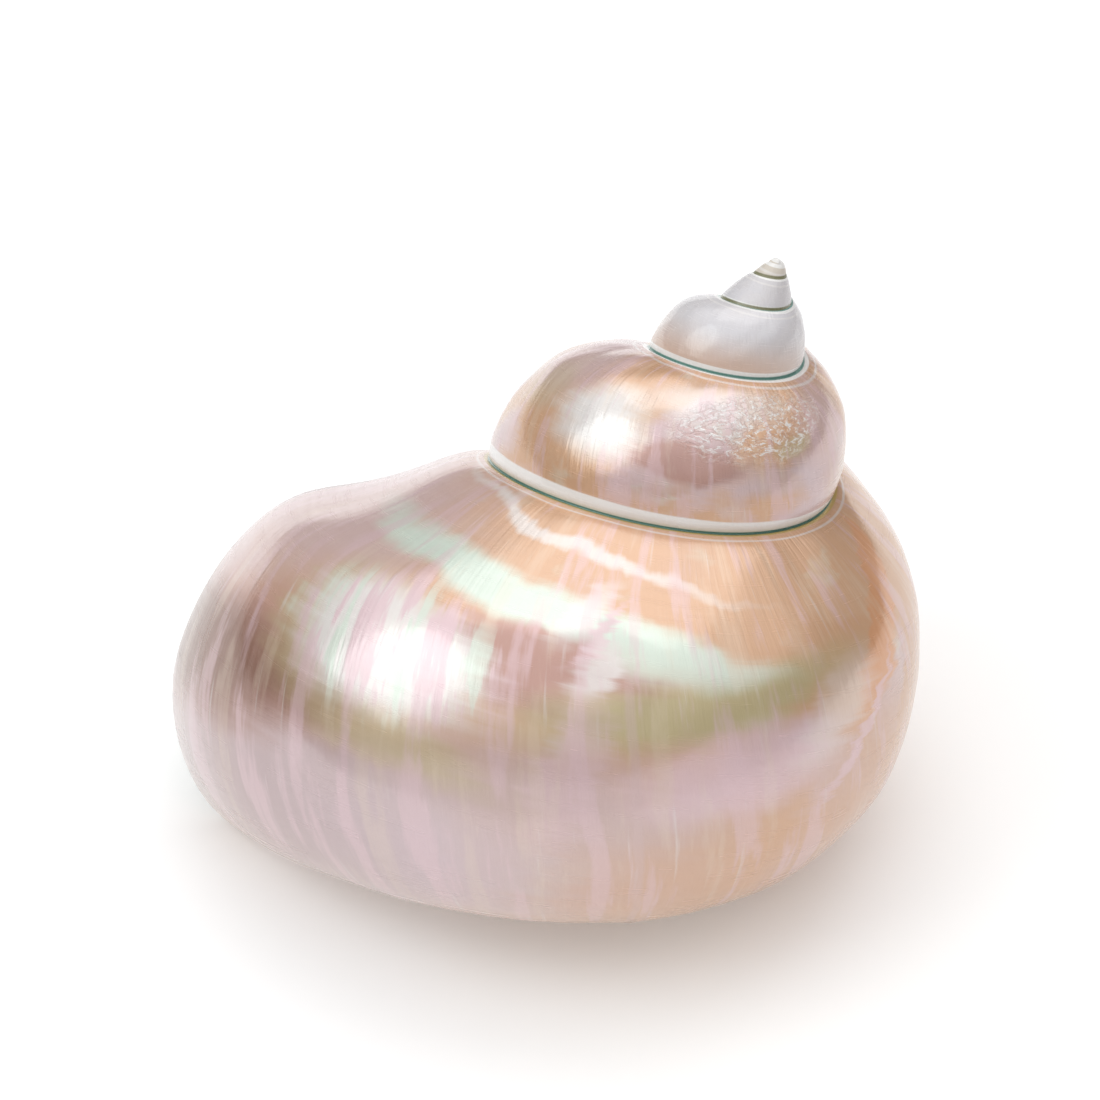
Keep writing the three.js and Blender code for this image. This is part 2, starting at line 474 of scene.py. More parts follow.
        # Each whorl's top is drawn onto the whorl above it, so that the skin is closed.
        for i in range(turn, count + 1):
            gap = flank[i - turn, -1] - flank[i, 0]
            flank[i] += gap[None, :] * (1.0 - ease(columns, 0.0, 0.16))[:, None]
        base[:, 0] = flank[start:, -1]
        return flank, flank_growth, base, base_growth

    def flare(self, back: float) -> float:
        """How much wider the hollow is than its plain section, at a growth angle from the lip."""
        return 1.0 + self.rim_flare * (1.0 - ease(back, 0.05, 0.8))

    def inside(self, loop: np.ndarray) -> np.ndarray:
        """Rim and hollow points, row by row from the lip inwards.

        Args:
            loop: The skin's open edge, in order round the mouth.

        Returns:
            Rows of points in coil units, each as long as the loop.
        """
        middle, out, rise, facing = self.mouth.axes()
        ring = self.hollow.span(0, len(self.hollow.corners))
        heart = np.array(self.mouth.centre)
        wide = heart + (ring - heart) * self.flare(0.0)
        reach = self.mouth.reach(wide[:, 0], wide[:, 1], -1.6, 0.9)
        spots = self.coil.place(wide[:, 0], wide[:, 1], reach) - middle
        angle = np.unwrap(np.arctan2(spots @ rise, spots @ out))
        outer = loop - middle
        wanted = np.unwrap(np.arctan2(outer @ rise, outer @ out))
        if (wanted[-1] - wanted[0]) * (angle[-1] - angle[0]) < 0:
            ring, reach, angle = ring[::-1], reach[::-1], angle[::-1]
        sign = math.copysign(1.0, wanted[-1] - wanted[0])
        wanted = np.maximum.accumulate(wanted * sign)
        angle = angle * sign
        lap = angle[-1] - angle[0]
        turned = angle[0] + np.mod(wanted - angle[0], lap)
        x = np.interp(turned, angle, ring[:, 0])
        y = np.interp(turned, angle, ring[:, 1])
        start = np.interp(turned, angle, reach)
        rows = []
        edge = heart + (np.stack([x, y], -1) - heart) * self.flare(0.0)
        inner = self.coil.place(edge[:, 0], edge[:, 1], start)
        roll = np.minimum(self.rim_roll, 0.3 * np.linalg.norm(inner - loop, axis=1))
        for k in range(self.rim_steps + 1):
            turn = math.pi * k / self.rim_steps
            across = 0.5 - 0.5 * math.cos(turn)
            rows.append(loop * (1 - across) + inner * across
                        + facing * (roll * math.sin(turn))[:, None])
        for k in range(1, self.tube_steps + 1):
            share = k / self.tube_steps
            back = self.tube_turns * FULL_TURN * share
            close = math.sqrt(max(0.0, 1.0 - ((share - 0.9) / 0.1) ** 2)) if share > 0.9 else 1.0
            kept = heart + (np.stack([x, y], -1) - heart) * self.flare(back) * close
            rows.append(self.coil.place(kept[:, 0], kept[:, 1], start - back))
        return np.array(rows)


@dataclass
class TurbanShell:
    """The whole shell as one closed skin."""

    form: ShellForm = field(default_factory=ShellForm)
    name: str = "shell_nacre"
    weld: float = 0.002 * MM
    speck: float = 0.0001 * MM

    def lay(self, skin: bmesh.types.BMesh, points: np.ndarray, lines: np.ndarray,
            across: np.ndarray) -> None:
        """Adds a sheet of faces and moves its vertices onto rows of points.

        Args:
            skin: The mesh that grows.
            points: Coil points by row and column.
            lines: Growth in turns, for the pattern map, by row and column.
            across: Place down the section, for the pattern map, by row and column.
        """
        rows, columns = points.shape[0] - 1, points.shape[1] - 1
        pattern = skin.loops.layers.uv.verify()
        made = bmesh.ops.create_grid(skin, x_segments=columns, y_segments=rows, size=1.0,
                                     calc_uvs=True)
        placed = self.form.stand.rest(points)
        faces = set()
        spots = {}
        for vertex in made["verts"]:
            row = round((vertex.co.y + 1.0) / 2.0 * rows)
            column = round((vertex.co.x + 1.0) / 2.0 * columns)
            spots[vertex] = (row, column)
            faces.update(vertex.link_faces)
        for vertex, (row, column) in spots.items():
            vertex.co = placed[row, column]
        for face in faces:
            for corner in face.loops:
                row, column = spots[corner.vert]
                corner[pattern].uv = (lines[row, column], across[row, column])

    def build(self) -> bpy.types.Object:
        """Grows the skin.

        Returns:
            The shell's mesh object, at the origin.
        """
        form = self.form
        flank, flank_growth, base, base_growth = form.rows()
        loop = np.concatenate([flank[-1], base[-1, 1:], base[-2::-1, -1], base[0, -2::-1]])
        inside = form.inside(loop)
        skin = bmesh.new()
        across = np.broadcast_to(form.columns(), flank.shape[:2])
        self.lay(skin, flank, flank_growth / FULL_TURN, across)
        across = np.broadcast_to(np.linspace(1, 2, base.shape[1]), base.shape[:2])
        self.lay(skin, base, base_growth / FULL_TURN, across)
        rows = np.arange(inside.shape[0])
        back = np.where(rows <= form.rim_steps, 0.0, (form.rim_steps - rows) / form.tube_steps)
        lines = np.broadcast_to((back * form.tube_turns)[:, None], inside.shape[:2])
        zone = np.where(rows <= form.rim_steps, 2.0 + rows / form.rim_steps, 3.0)
        round_tube = np.outer(rows > form.rim_steps, np.linspace(0, 1, inside.shape[1]))
        across = zone[:, None] + round_tube
        self.lay(skin, inside, lines, across)
        bmesh.ops.remove_doubles(skin, verts=skin.verts[:], dist=self.weld)
        rim = [edge for edge in skin.edges if edge.is_boundary]
        LOG.info("open edges before the tip is closed: %d", len(rim))
        tip = bmesh.ops.holes_fill(skin, edges=rim, sides=0)["faces"]
        if tip:
            bmesh.ops.poke(skin, faces=tip)
        bmesh.ops.dissolve_degenerate(skin, edges=skin.edges[:], dist=self.speck)
        bmesh.ops.recalc_face_normals(skin, faces=skin.faces[:])
        mesh = bpy.data.meshes.new(self.name)
        skin.to_mesh(mesh)
        mesh.uv_layers[0].name = PATTERN_MAP
        open_edges = sum(1 for edge in skin.edges if not edge.is_manifold)
        LOG.info("%s: %d faces, %d open edges, volume %.1f ml", self.name, len(skin.faces),
                 open_edges, skin.calc_volume(signed=True) * 1e6)
        skin.free()
        mesh.polygons.foreach_set("use_smooth", [True] * len(mesh.polygons))
        piece = bpy.data.objects.new(self.name, mesh)
        bpy.context.scene.collection.objects.link(piece)
        return piece


class Hue(Enum):
    """Named colours of the nacre, as display colours."""

    PEACH = "D5A987"
    APRICOT = "DDA278"
    ROSE = "BE9388"
    BLUSH = "D6BBBA"
    LILAC = "CDB9BD"
    PINK = "E2C3C9"
    MINT = "D8E3D6"
    CREAM = "E6D3BF"
    OLIVE = "C4B58C"
    UMBER = "87604F"
    MAUVE = "B39C9C"
    PEARL = "E9E4E2"
    PORCELAIN = "D6D4D8"
    TEAL = "5B9186"
    MOSS = "6A6838"
    GOLD = "C9AC62"
    BEIGE = "D6CCC0"
    WHITE = "F4F2F0"

    def paint(self) -> tuple[float, float, float, float]:
        """The colour as linear light, with full alpha."""
        parts = [int(self.value[i:i + 2], 16) / 255.0 for i in (0, 2, 4)]
        return (*(c / 12.92 if c <= 0.04045 else ((c + 0.055) / 1.055) ** 2.4 for c in parts), 1.0)


@dataclass(frozen=True)
class Patch:
    """A soft-edged place of one colour on the whorls.

    Its middle is given by growth in turns and share of the flank, and its half sizes in flanks.
    """

    hue: Hue
    turns: float
    share: float
    half_along: float
    half_across: float
    slant: float
    strength: float
    soft: float = 1.0


class Bench:
    """Adds shader nodes to a tree with few words."""

    def __init__(self, tree: bpy.types.NodeTree) -> None:
        """Starts on a tree."""
        self.tree = tree

    def add(self, kind: str, inputs: dict | None = None, **settings: object) -> bpy.types.Node:
        """Adds a node.

        Args:
            kind: Its type name.
            inputs: Socket values or sockets to link, by name or number.
            settings: Its properties.

        Returns:
            The node.
        """
        node = self.tree.nodes.new(kind)
        for name, value in settings.items():
            setattr(node, name, value)
        for name, value in (inputs or {}).items():
            if isinstance(value, Socket):
                self.tree.links.new(value, node.inputs[name])
            else:
                node.inputs[name].default_value = value
        return node

    def math(self, operation: str, a: object, b: object = 0.0) -> Socket:
        """A math node's result."""
        return self.add("ShaderNodeMath", {0: a, 1: b}, operation=operation).outputs[0]

    def product(self, *parts: object) -> Socket:
        """The product of two or more values."""
        return reduce(partial(self.math, "MULTIPLY"), parts)

    def total(self, *parts: object) -> Socket:
        """The sum of two or more values."""
        return reduce(partial(self.math, "ADD"), parts)

    def split(self, vector: Socket) -> bpy.types.NodeOutputs:
        """The three parts of a vector."""
        return self.add("ShaderNodeSeparateXYZ", {0: vector}).outputs

    def step(self, value: object, low: float, high: float) -> Socket:
        """A smooth step, which falls if high is below low.

        Args:
            value: Where to read the step.
            low: Where it is 0.
            high: Where it is 1.

        Returns:
            The step, from 0 to 1.
        """
        ends = (0.0, 1.0) if high > low else (1.0, 0.0)
        node = self.add("ShaderNodeMapRange", {0: value, 1: min(low, high), 2: max(low, high),
                                               3: ends[0], 4: ends[1]},
                        interpolation_type="SMOOTHSTEP")
        return node.outputs[0]

    def vector(self, x: object, y: object, z: object = 0.0) -> Socket:
        """A vector of three values."""
        return self.add("ShaderNodeCombineXYZ", {0: x, 1: y, 2: z}).outputs[0]

    def stretch(self, x: object, x_times: float, y: object, y_times: float = 1.0) -> Socket:
        """A flat vector of two values, each multiplied."""
        return self.vector(self.product(x, x_times), self.product(y, y_times))

    def move(self, vector: object, by: object, operation: str = "ADD") -> Socket:
        """A vector added to another, or treated with it in another way."""
        return self.add("ShaderNodeVectorMath", {0: vector, 1: by}, operation=operation).outputs[0]

    def noise(self, vector: object, scale: float, detail: float = 3.0,
              rough: float = 0.5) -> Socket:
        """A noise value about a half."""
        return self.add("ShaderNodeTexNoise", {"Vector": vector, "Scale": scale, "Detail": detail,
                                               "Roughness": rough}).outputs["Fac"]

    def ramp(self, value: object, stops: list[tuple[float, Hue]]) -> Socket:
        """Colours laid along a value.

        Args:
            value: Where to read them.
            stops: Places and the colours there.

        Returns:
            The colour.
        """
        node = self.add("ShaderNodeValToRGB", {0: value})
        band = node.color_ramp
        while len(band.elements) < len(stops):
            band.elements.new(0.5)
        for element, (place, hue) in zip(band.elements, stops):
            element.position = place
            element.color = hue.paint()
        return node.outputs["Color"]

    def mix(self, share: object, under: object, over: object) -> Socket:
        """Lays one colour over another.

        Args:
            share: How much of the upper colour shows.
            under: The colour below.
            over: The colour above.

        Returns:
            The mixed colour.
        """
        over = over.paint() if isinstance(over, Hue) else over
        under = under.paint() if isinstance(under, Hue) else under
        node = self.add("ShaderNodeMix", data_type="RGBA")
        for socket, value in ((node.inputs[0], share), (node.inputs[6], under),
                              (node.inputs[7], over)):
            if isinstance(value, Socket):
                self.tree.links.new(value, socket)
            else:
                socket.default_value = value
        return node.outputs[2]


PATCHES = (
    Patch(Hue.BLUSH, -0.06, 0.32, 0.50, 0.34, 0.0, 0.85),
    Patch(Hue.LILAC, -0.16, 1.02, 0.60, 0.22, -0.2, 0.8),
    Patch(Hue.LILAC, -0.30, 0.98, 0.45, 0.26, -0.1, 0.7),
    Patch(Hue.MAUVE, -0.12, 1.05, 0.50, 0.22, -0.2, 0.75),
    Patch(Hue.PEACH, -0.40, 1.04, 0.40, 0.18, 0.2, 0.7),
    # Partly the nacre's rose tone, partly painted dark reflection: the left limb is painted darker where
    # it mirrors the dark surroundings.
    Patch(Hue.ROSE, -0.12, 0.80, 0.34, 0.16, 0.15, 0.85),
    Patch(Hue.ROSE, -0.275, 0.53, 0.27, 0.13, -0.2, 0.95, 0.4),
    Patch(Hue.OLIVE, -0.205, 0.80, 0.26, 0.06, -0.25, 0.6),
    Patch(Hue.OLIVE, -0.155, 0.60, 0.09, 0.17, 0.2, 0.6),
    Patch(Hue.OLIVE, -0.350, 0.55, 0.36, 0.085, 0.36, 0.95),
    # Painted reflection: the pale mint sweep across the last whorl stands in for the reflection of a dim
    # light above and behind the shell.
    Patch(Hue.MINT, -0.235, 0.335, 0.60, 0.06, -0.15, 1.0, 0.8),
    Patch(Hue.MINT, -0.325, 0.42, 0.20, 0.07, -0.1, 0.8),
    Patch(Hue.PEARL, -0.22, 0.130, 0.55, 0.018, -0.15, 0.75, 1.2),
    Patch(Hue.PINK, -0.375, 0.72, 0.24, 0.11, 0.3, 0.75),
    Patch(Hue.PINK, -0.300, 0.78, 0.06, 0.18, 0.0, 0.5),
    # Painted reflection: a crisp apricot crescent along the right limb, where the nacre mirrors the dark
    # background and shows its own colour strongly.
    Patch(Hue.APRICOT, -0.478, 0.36, 0.085, 0.32, -0.55, 1.0, 0.35),
    Patch(Hue.PEACH, -0.535, 0.45, 0.14, 0.5, -0.4, 0.9, 0.3),
    Patch(Hue.PEACH, -0.520, 0.85, 0.45, 0.30, 0.0, 0.75),
    Patch(Hue.PEARL, -0.430, 0.57, 0.08, 0.15, -0.4, 0.4),
    Patch(Hue.PINK, -0.452, 0.66, 0.02, 0.22, -0.45, 0.7),
    # Painted highlight: pearl white under the window lamp's highlight on the last whorl, so that the
    # reflection there reads white.
    Patch(Hue.PEARL, -0.198, 0.60, 0.24, 0.15, -0.25, 0.9, 0.7),
    Patch(Hue.PEARL, -0.272, 0.34, 0.045, 0.11, -0.35, 0.6),
    Patch(Hue.PINK, -0.286, 0.39, 0.02, 0.11, -0.35, 0.8),
    Patch(Hue.PEARL, -0.292, 0.50, 0.05, 0.075, 0.25, 0.75),
    # Partly the nacre's rose tone, partly painted dark reflection: rose and umber darken the left limb
    # where it mirrors the dark surroundings.
    Patch(Hue.ROSE, -0.020, 0.88, 0.36, 0.20, 0.0, 0.9),
    Patch(Hue.UMBER, -0.080, 0.86, 0.42, 0.13, 0.12, 0.95),
    Patch(Hue.BLUSH, -1.47, 0.45, 0.25, 0.4, 0.0, 0.8),
    Patch(Hue.BLUSH, -1.09, 0.28, 0.30, 0.28, 0.0, 0.85),
    Patch(Hue.OLIVE, -1.100, 0.50, 0.13, 0.14, 0.3, 0.4),
    # Painted highlight: pearl white under the window lamp's highlight on the second whorl.
    Patch(Hue.PEARL, -1.19, 0.52, 0.20, 0.18, 0.0, 0.95),
    Patch(Hue.ROSE, -1.29, 0.62, 0.24, 0.11, 0.0, 0.9, 0.4),
    Patch(Hue.PEARL, -1.30, 0.26, 0.36, 0.13, 0.1, 0.6),
    Patch(Hue.OLIVE, -1.400, 0.46, 0.13, 0.06, 0.2, 0.7),
    Patch(Hue.LILAC, -1.40, 0.66, 0.26, 0.10, 0.0, 0.6),
    Patch(Hue.PEACH, -2.19, 0.80, 0.32, 0.16, 0.0, 0.75),
)


@dataclass
class SkinMap:
    """Node sockets that the looks share, read from the pattern map.

    turns and share are the map itself, line is the same along a growth line, place is in flanks,
    and moved is the place pushed about by noise so that patterns wander.
    """

    turns: Socket
    share: Socket
    line: Socket
    place: Socket
    grain: Socket
    push: Socket
    moved: Socket
    streaks: Socket
    hairs: Socket


@dataclass(frozen=True)
class Joins:
    """Widths of what shows where two whorls meet, in millimetres, as start and end of each edge."""

    band_width: float = 4.6
    rim: tuple[float, float] = (0.85, 0.70)
    faint: tuple[float, float, float, float] = (1.35, 1.5, 1.6, 1.8)
    gold: tuple[float, float] = (0.85, 0.65)
    thread: tuple[float, float] = (0.38, 0.22)
    wobble: float = 0.25
    away: float = 99.0


@dataclass(frozen=True)
class NacreFinish:
    """Polished mother-of-pearl, with its seams, its early porcelain whorls and its wear."""

    name: str = "nacre"
    flank_length: float = Relief.flank_length
    turn_ratio: float = Coil.turn_ratio
    line_lag: float = Relief.line_lag
    seam_at: float = Relief.seam_at
    long_turn: float = LONG_TURN
    tip_from: float = -3.78
    thread_ends: tuple[float, float] = (-3.94, -4.94)
    joins: Joins = Joins()
    # Painted sheen: the place where the window lamp's highlight falls on the last whorl; pink and mint
    # streaks are painted inside it.
    highlight: Patch = Patch(Hue.PEARL, -0.20, 0.58, 0.26, 0.17, -0.25, 0.8, 0.8)
    etching: Patch = Patch(Hue.PEARL, -1.36, 0.34, 0.42, 0.20, 0.22, 1.0, 0.5)
    metallic: float = 0.20
    polish: float = 0.17
    ior: float = 1.65
    coat: float = 0.5
    coat_roughness: float = 0.09
    bump_strength: float = 0.35
    bump_depth: float = 0.35 * MM

    def make(self) -> bpy.types.Material:
        """Makes the material.

        Returns:
            The material, which reads the piece's own pattern map.
        """
        material = bpy.data.materials.new(self.name)
        material.use_nodes = True
        bench = Bench(material.node_tree)
        skin = self.read(bench)
        colour = self.streaked(bench, skin, self.ground(bench, skin))
        colour, early, tip = self.aged(bench, skin, colour)
        colour, bare = self.joined(bench, skin, colour)
        colour = self.paled(bench, skin, colour)
        colour, etched, relief = self.etched(bench, skin, colour)

        brushed = bench.noise(skin.grain, 0.6, 1.0, 0.5)
        rough = bench.total(self.polish, bench.product(brushed, 0.16),
                            bench.product(etched, 0.18), bench.product(tip, 0.35))
        plain = bench.math("MAXIMUM", bench.math("MAXIMUM", early, tip), bare)
        metal = bench.product(bench.math("SUBTRACT", 1.0, plain), self.metallic)
        relief = bench.total(bench.product(skin.hairs, 0.5), bench.product(skin.streaks, 0.5), relief)
        bump = bench.add("ShaderNodeBump", {"Height": relief, "Strength": self.bump_strength,
                                            "Distance": self.bump_depth})
        shader = material.node_tree.nodes["Principled BSDF"]
        for socket, name in ((colour, "Base Color"), (rough, "Roughness"), (metal, "Metallic"),
                             (bump.outputs[0], "Normal")):
            material.node_tree.links.new(socket, shader.inputs[name])
        shader.inputs["IOR"].default_value = self.ior
        shader.inputs["Coat Weight"].default_value = self.coat
        shader.inputs["Coat Roughness"].default_value = self.coat_roughness
        return material

    def read(self, bench: Bench) -> SkinMap:
        """Reads the pattern map and lays the noises that the looks share.

        Args:
            bench: Where the nodes go.

        Returns:
            The shared sockets.
        """
        pattern = bench.split(bench.add("ShaderNodeUVMap", uv_map=PATTERN_MAP).outputs["UV"])
        turns, share = pattern[0], pattern[1]
        line = bench.total(turns, bench.product(share, self.line_lag))
        place = bench.stretch(turns, self.long_turn, share)
        streaks = bench.noise(bench.stretch(line, 58.0, share, 1.6), 1.0, 4.0, 0.6)
        hairs = bench.noise(bench.stretch(line, 230.0, share, 2.6), 1.0, 3.0, 0.55)

        # Three pushes: a broad wander, fraying down the growth lines, and strokes along the whorl.
        wander = bench.add("ShaderNodeTexNoise", {"Vector": place, "Scale": 4.0, "Detail": 3.0,
                                                  "Roughness": 0.6}).outputs["Color"]
        push = bench.move(bench.move(wander, (0.5, 0.5, 0.5), "SUBTRACT"), (0.20, 0.11, 0.0),
                          "MULTIPLY")
        frayed = bench.vector(0.0, bench.product(bench.math("SUBTRACT", streaks, 0.5), 0.06))
        stroke = bench.noise(bench.stretch(turns, 9.0, share, 34.0), 1.0, 3.0, 0.6)
        swept = bench.vector(bench.product(bench.math("SUBTRACT", stroke, 0.5), 0.11), 0.0)
        moved = bench.move(bench.move(bench.move(place, push), frayed), swept)
        grain = bench.stretch(turns, 36.0, share, 95.0)
        return SkinMap(turns, share, line, place, grain, push, moved, streaks, hairs)

    def ground(self, bench: Bench, skin: SkinMap) -> Socket:
        """Slow drifts of colour over the whole shell, with the patches laid on them.

        Args:
            bench: Where the nodes go.
            skin: The shared sockets.

        Returns:
            The colour.
        """
        drift = bench.noise(skin.moved, 1.15, 3.0, 0.55)
        colour = bench.ramp(drift, [(0.30, Hue.LILAC), (0.42, Hue.BLUSH), (0.50, Hue.PEACH),
                                    (0.60, Hue.PEACH), (0.72, Hue.CREAM)])
        shoulder = bench.product(bench.step(skin.share, 0.5, 0.18),
                                 bench.step(skin.turns, -0.13, -0.24),
                                 bench.step(skin.turns, -1.0, -0.9))
        colour = bench.mix(bench.product(shoulder, 0.9), colour, Hue.PEACH)
        belt = bench.step(bench.noise(skin.moved, 3.1, 3.0, 0.6), 0.58, 0.72)
        colour = bench.mix(bench.product(belt, 0.35), colour, Hue.MINT)
        # Some patches are painted light: painted highlights under the lamp's reflections, painted
        # reflections, and painted dark reflection on the left limb.
        for patch in PATCHES:
            colour = bench.mix(self.patch(bench, skin.moved, patch), colour, patch.hue)
        return colour

    def streaked(self, bench: Bench, skin: SkinMap,
                 colour: Socket) -> Socket:
        """Streaks along the growth lines, stronger in the highlight, and the axial seam.

        Args:
            bench: Where the nodes go.
            skin: The shared sockets.
            colour: The colour under them.

        Returns:
            The colour with the streaks.
        """
        # Painted sheen: pink and mint streaks painted only inside the highlight, standing in for the
        # coloured glints in the lamp's reflection.
        shine = self.patch(bench, skin.moved, self.highlight)
        for value, low, high, strength, hue in (
                (skin.streaks, 0.52, 0.62, 0.45, Hue.PINK), (skin.streaks, 0.46, 0.36, 0.22, Hue.CREAM),
                (skin.streaks, 0.49, 0.55, shine, Hue.PINK), (skin.streaks, 0.47, 0.41, shine, Hue.MINT),
                (skin.hairs, 0.62, 0.78, 0.35, Hue.PEARL)):
            colour = bench.mix(bench.product(bench.step(value, low, high), strength), colour, hue)
        waver = bench.product(bench.math("SUBTRACT", bench.noise(skin.place, 9.0), 0.5), 0.006)
        apart = bench.math("SUBTRACT", bench.total(skin.line, waver), self.seam_at)
        seam = bench.product(bench.step(bench.math("ABSOLUTE", apart), 0.0035, 0.0012),
                             bench.step(skin.share, 0.44, 0.56))
        return bench.mix(bench.product(seam, 0.35), colour, Hue.BLUSH)

    def aged(self, bench: Bench, skin: SkinMap,
             colour: Socket) -> tuple[Socket, ...]:
        """Turns the early whorls to porcelain, and bares the very tip.

        Args:
            bench: Where the nodes go.
            skin: The shared sockets.
            colour: The colour of the later whorls.

        Returns:
            The colour, the mask of the early whorls and the mask of the tip.
        """
        uneven = bench.total(skin.turns, bench.product(bench.split(skin.push)[0], 1.2))
        early = bench.step(uneven, -1.62, -2.1)
        low = bench.product(bench.step(skin.share, 0.45, 0.95), bench.step(skin.turns, -2.75, -2.3))
        porcelain = bench.mix(bench.product(low, 0.65), Hue.PORCELAIN, Hue.PEACH)
        colour = bench.mix(bench.product(early, 0.92), colour, porcelain)
        tip = bench.step(skin.turns, self.tip_from, self.tip_from - 0.08)
        return bench.mix(tip, colour, Hue.BEIGE), early, tip

    def joined(self, bench: Bench, skin: SkinMap,
               colour: Socket) -> tuple[Socket, ...]:
        """Paints the white band, the yellow line and the dark thread where two whorls meet.

        Args:
            bench: Where the nodes go.
            skin: The shared sockets.
            colour: The colour of the whorls.

        Returns:
            The colour, and the mask of the white places.
        """
        joins = self.joins
        size = bench.math("POWER", self.turn_ratio, skin.turns)
        reach = bench.product(size, self.flank_length)
        above = bench.product(skin.share, reach)
        below = bench.product(bench.math("SUBTRACT", 1.0, skin.share), reach)
        covered = bench.step(skin.turns, -0.92, -0.94)
        flank = bench.step(skin.share, 1.001, 0.999)
        wide = bench.math("DIVIDE", below, bench.product(size, joins.band_width))
        band = bench.product(bench.step(wide, 1.06, 0.94), covered, flank)
        colour = bench.mix(bench.product(band, 0.9), colour, Hue.WHITE)
        uneven = bench.product(bench.math("SUBTRACT", bench.noise(skin.grain, 0.35), 0.5),
                               joins.wobble)
        wobbly = bench.total(above, uneven)
        rim = bench.product(bench.step(wobbly, *joins.rim), bench.step(skin.turns, -0.98, -1.02))
        colour = bench.mix(bench.product(rim, 0.9), colour, Hue.WHITE)
        faint = bench.product(bench.step(wobbly, *joins.faint[:2]),
                              bench.step(wobbly, *joins.faint[:1:-1]))
        colour = bench.mix(bench.product(faint, 0.6), colour, Hue.PEARL)
        gold = bench.product(bench.step(above, *joins.gold), bench.step(skin.turns, -1.02, -0.98))
        colour = bench.mix(bench.product(gold, 0.9), colour, Hue.GOLD)

        # The thread runs on both sides of a join, except round the tip and at the open lip.
        ends = [bench.step(skin.turns, at, at - 0.01) for at in self.thread_ends]
        no_join = bench.math("MAXIMUM", bench.math("SUBTRACT", 1.0, covered), ends[1])
        near = bench.math("MINIMUM", bench.total(above, bench.product(ends[0], joins.away)),
                          bench.total(below, bench.product(no_join, joins.away)))
        dark = bench.product(bench.step(near, *joins.thread), flank)
        thread = bench.mix(bench.step(skin.turns, -2.55, -2.75), Hue.TEAL, Hue.MOSS)
        return bench.mix(bench.product(dark, 0.92), colour, thread), bench.math("MAXIMUM", band, rim)

    def paled(self, bench: Bench, skin: SkinMap,
              colour: Socket) -> Socket:
        """Pales the base, and turns the lip and the hollow to silver.

        Args:
            bench: Where the nodes go.
            skin: The shared sockets.
            colour: The colour of the whorls.

        Returns:
            The colour.
        """
        colour = bench.mix(bench.product(bench.step(skin.share, 1.05, 1.5), 0.5), colour, Hue.CREAM)
        silver = bench.ramp(bench.noise(bench.stretch(skin.turns, 9.0, skin.share), 2.0),
                            [(0.3, Hue.PINK), (0.42, Hue.PEARL), (0.55, Hue.MINT),
                             (0.62, Hue.PEARL), (0.75, Hue.CREAM)])
        return bench.mix(bench.step(skin.share, 2.0, 2.6), colour, bench.mix(0.45, silver, Hue.PEARL))

    def etched(self, bench: Bench, skin: SkinMap,
               colour: Socket) -> tuple[Socket, ...]:
        """Crackles and specks the dull patch on the second whorl.

        Args:
            bench: Where the nodes go.
            skin: The shared sockets.
            colour: The colour of the whorls.

        Returns:
            The colour, the patch's mask and its relief.
        """
        mask = self.patch(bench, skin.moved, self.etching)
        crackle = bench.add("ShaderNodeTexVoronoi", {"Vector": skin.moved, "Scale": 22.0},
                            feature="DISTANCE_TO_EDGE").outputs["Distance"]
        cracks = bench.product(bench.step(crackle, 0.10, 0.02), mask)
        specks = bench.product(bench.step(bench.noise(skin.moved, 30.0, 4.0, 0.75), 0.50, 0.60), mask)
        colour = bench.mix(bench.product(cracks, 0.35), colour, Hue.ROSE)
        colour = bench.mix(bench.product(specks, 0.85), colour, Hue.WHITE)
        return colour, mask, bench.total(bench.product(cracks, -0.8), bench.product(specks, 0.5))

    def patch(self, bench: Bench, place: Socket,
              patch: Patch) -> Socket:
        """The mask of a patch.

        Args:
            bench: Where the nodes go.
            place: The pattern place, in flanks.
            patch: What to mask.

        Returns:
            Its strength at each point.
        """
        mapping = bench.add("ShaderNodeMapping", {
            "Vector": place, "Location": (patch.turns * self.long_turn, patch.share, 0.0),
            "Rotation": (0.0, 0.0, patch.slant),
            "Scale": (patch.half_along, patch.half_across, 1.0)}, vector_type="TEXTURE")
        away = bench.add("ShaderNodeVectorMath", {0: mapping.outputs[0]}, operation="LENGTH")
        mask = bench.step(away.outputs["Value"], 1.0 + 0.5 * patch.soft, 1.0 - 0.5 * patch.soft)
        return bench.product(mask, patch.strength)


@dataclass(frozen=True)
class Softbox:
    """A square lamp with an even face."""

    name: str
    place: tuple[float, float, float]
    width: float
    height: float
    power: float
    tint: tuple[float, float, float] = (1.0, 1.0, 1.0)

    def hang(self, target: Vector) -> None:
        """Puts the lamp up.

        Args:
            target: The point that it faces.
        """
        light = bpy.data.lights.new(self.name, "AREA")
        light.shape = "RECTANGLE"
        light.size, light.size_y = self.width, self.height
        light.energy = self.power
        light.color = self.tint
        lamp = bpy.data.objects.new(self.name, light)
        lamp.location = self.place
        lamp.rotation_euler = (target - lamp.location).to_track_quat("-Z", "Y").to_euler()
        bpy.context.scene.collection.objects.link(lamp)


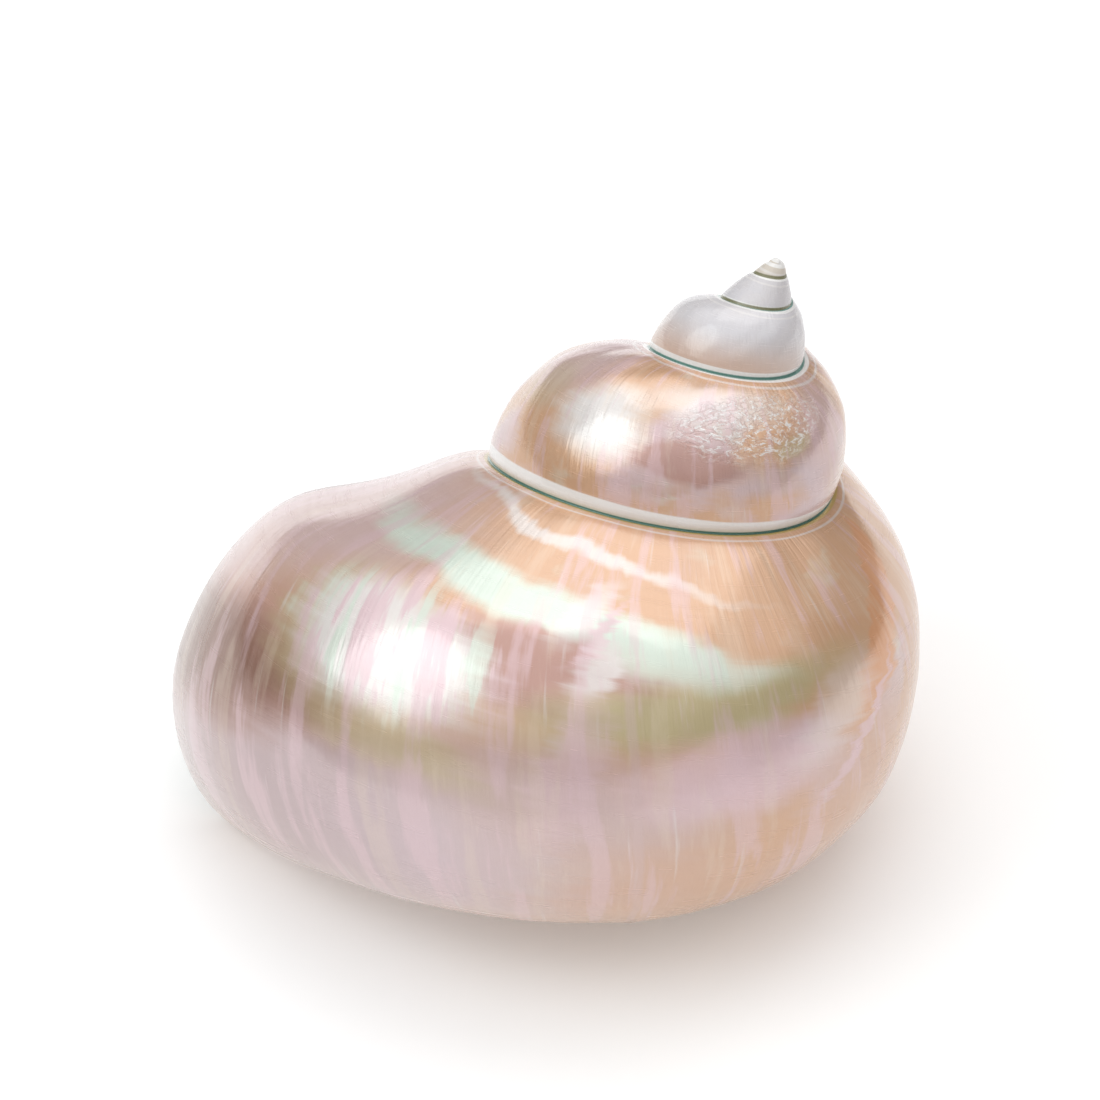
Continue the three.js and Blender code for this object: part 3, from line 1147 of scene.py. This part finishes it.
@dataclass
class Studio:
    """Floor, lights and camera."""

    eye: tuple[float, float, float] = (0.79 * MM, -371.6 * MM, 341.5 * MM)
    pitch: float = math.radians(90.0 - 39.1)
    lens: float = 134.2
    floor_half: float = 0.9
    sky: float = 1.15
    horizon: float = 0.09
    sweep: float = 0.60
    floor_glow: float = 0.16
    target: tuple[float, float, float] = (0.0, 0.0, 0.03)
    lamps: tuple[Softbox, ...] = (
        Softbox("window", (-0.52, -0.13, 0.49), 0.44, 0.42, 1.15, (0.92, 1.0, 1.0)),
        Softbox("overhead", (0.10, 0.45, 0.85), 0.9, 0.7, 2.0),
    )

    def build(self) -> None:
        """Makes the floor, the lights and the camera."""
        bpy.context.scene.view_settings.view_transform = "Standard"
        self.lay_floor()
        self.light()
        self.aim_camera()

    def lay_floor(self) -> None:
        """Lays a plain white sheet with a little glow of its own."""
        sheet = bmesh.new()
        bmesh.ops.create_grid(sheet, x_segments=1, y_segments=1, size=self.floor_half)
        mesh = bpy.data.meshes.new("floor")
        sheet.to_mesh(mesh)
        sheet.free()
        floor = bpy.data.objects.new("floor", mesh)
        bpy.context.scene.collection.objects.link(floor)
        paper = bpy.data.materials.new("floor_white")
        paper.use_nodes = True
        shader = paper.node_tree.nodes["Principled BSDF"]
        shader.inputs["Base Color"].default_value = (0.93, 0.93, 0.93, 1)
        shader.inputs["Roughness"].default_value = 0.7
        shader.inputs["Emission Color"].default_value = (1, 1, 1, 1)
        shader.inputs["Emission Strength"].default_value = self.floor_glow
        mesh.materials.append(paper)

    def light(self) -> None:
        """Makes a soft sky, bright overhead and low in front, and hangs the lamps."""
        world = bpy.data.worlds.new("studio")
        bpy.context.scene.world = world
        world.use_nodes = True
        bench = Bench(world.node_tree)
        aim = bench.split(bench.add("ShaderNodeTexCoord").outputs["Generated"])
        overhead = bench.product(bench.step(aim[2], 0.30, 0.95), self.sky)
        front = bench.product(bench.step(aim[2], 0.33, 0.26), bench.step(aim[1], -0.30, -0.75))
        glow = bench.total(overhead, self.horizon, bench.product(front, self.sweep))
        ground = world.node_tree.nodes["Background"]
        ground.inputs["Color"].default_value = (1, 1, 1, 1)
        world.node_tree.links.new(glow, ground.inputs["Strength"])
        for lamp in self.lamps:
            lamp.hang(Vector(self.target))

    def aim_camera(self) -> None:
        """Sets up a long lens in front of the shell, looking down at it."""
        lens = bpy.data.cameras.new("camera")
        lens.lens = self.lens
        lens.sensor_width = 36.0
        lens.clip_start = 0.01
        camera = bpy.data.objects.new("camera", lens)
        camera.location = self.eye
        camera.rotation_euler = Euler((self.pitch, 0.0, 0.0))
        bpy.context.scene.collection.objects.link(camera)
        bpy.context.scene.camera = camera


def main() -> None:
    """Builds the shell and the studio."""
    logging.basicConfig(level=logging.INFO, format="%(message)s")
    shell = TurbanShell().build()
    shell.data.materials.append(NacreFinish().make())
    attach(shell, "root")
    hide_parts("shell")
    Studio().build()


if __name__ == "__main__":
    main()
